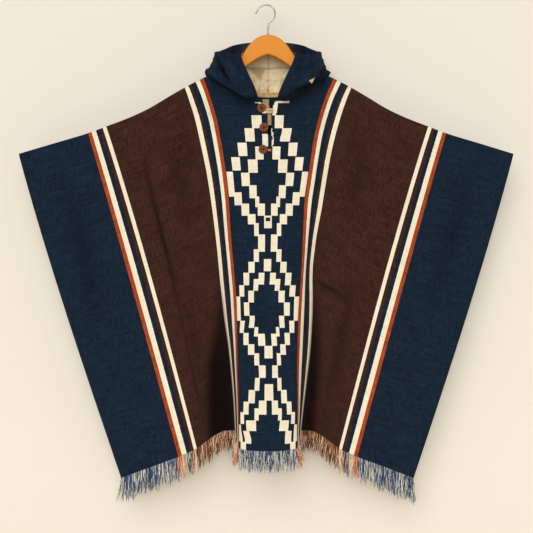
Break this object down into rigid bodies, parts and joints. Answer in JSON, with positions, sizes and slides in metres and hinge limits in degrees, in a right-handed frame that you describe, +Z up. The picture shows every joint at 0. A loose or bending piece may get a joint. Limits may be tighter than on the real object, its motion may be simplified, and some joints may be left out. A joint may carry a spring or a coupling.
{
  "type": "andean poncho on a wooden hanger",
  "caption": "Hooded striped poncho with stepped diamonds, a buttoned throat slit and fringed hems, hung open on a flat wooden hanger with a wire hook.",
  "frame": {"origin": "top of the inside of the hook, where a rail or peg carries the hanger", "axes": "+Z up, +X to the right of someone who looks at the front, and the front faces -Y"},
  "size_m": [1.2652, 0.1805, 1.274],
  "materials": {
    "poncho_cloth": "woven, matte, navy with brown, cream and orange stripes",
    "hood_cloth": "woven, matte, navy with a pale inner face",
    "pale_cloth": "woven, matte, beige",
    "button": "carved, satin",
    "cord": "twisted cord",
    "fringe": "loose yarn ends",
    "hanger_wood": "varnished",
    "hook_steel": "satin"
  },
  "bodies": {
    "root": {"front": "poncho_cloth", "back": "poncho_cloth", "hood_left": "hood_cloth", "hood_right": "hood_cloth", "neck_tape": "pale_cloth", "slit_facing": "pale_cloth", "button_1": "button", "button_2": "button", "button_3": "button", "loop_1": "cord", "loop_3": "cord", "fringe_front": "fringe", "fringe_back": "fringe", "hanger_wood": "hanger_wood", "hanger_hook": "hook_steel"}
  },
  "joints": []
}
